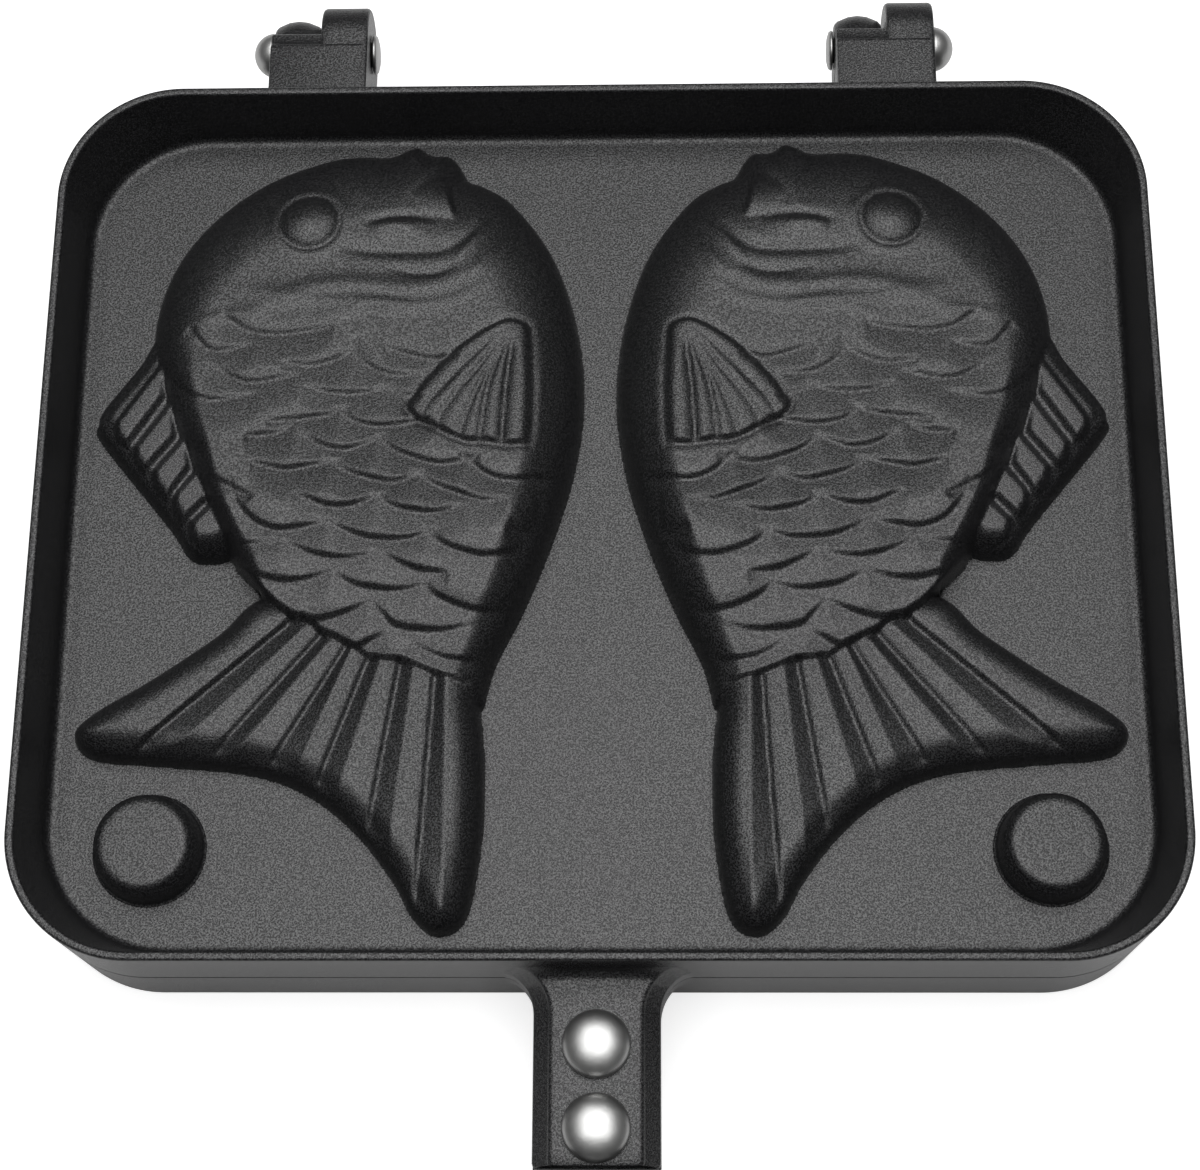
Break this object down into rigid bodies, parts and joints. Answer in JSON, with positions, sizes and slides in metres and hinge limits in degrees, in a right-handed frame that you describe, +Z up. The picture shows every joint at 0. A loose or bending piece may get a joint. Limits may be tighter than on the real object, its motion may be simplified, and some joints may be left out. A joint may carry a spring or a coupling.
{
  "type": "stovetop taiyaki pan",
  "caption": "Hinged fish-cake pan for a gas hob: coated halves with fish moulds, riveted shanks and split grips, opening at the rear.",
  "frame": {"origin": "centre of the bounding box in plan, on the surface the pan stands on", "axes": "+X to the right seen from the handle, +Y from the handle to the hinge, +Z up"},
  "size_m": [0.208, 0.3804, 0.0355],
  "materials": {
    "coated_casting": "cast aluminium under a black non-stick coat with a fine pebble texture",
    "grip": "moulded black phenolic, satin",
    "rivet": "polished",
    "pin": "polished"
  },
  "bodies": {
    "lower_half": {"lower_pan": "coated_casting", "lower_grip": "grip", "lower_rivet_front": "rivet", "lower_rivet_rear": "rivet", "left_hinge_pin": "pin", "right_hinge_pin": "pin"},
    "upper_half": {"upper_pan": "coated_casting", "upper_grip": "grip", "upper_rivet_front": "rivet", "upper_rivet_rear": "rivet"}
  },
  "joints": [
    {"name": "pan_hinge", "type": "hinge", "parent": "lower_half", "child": "upper_half", "pos_m": [0, 0.1813, 0.01775], "axis": [-1, 0, 0], "range_deg": [0, 180]}
  ]
}
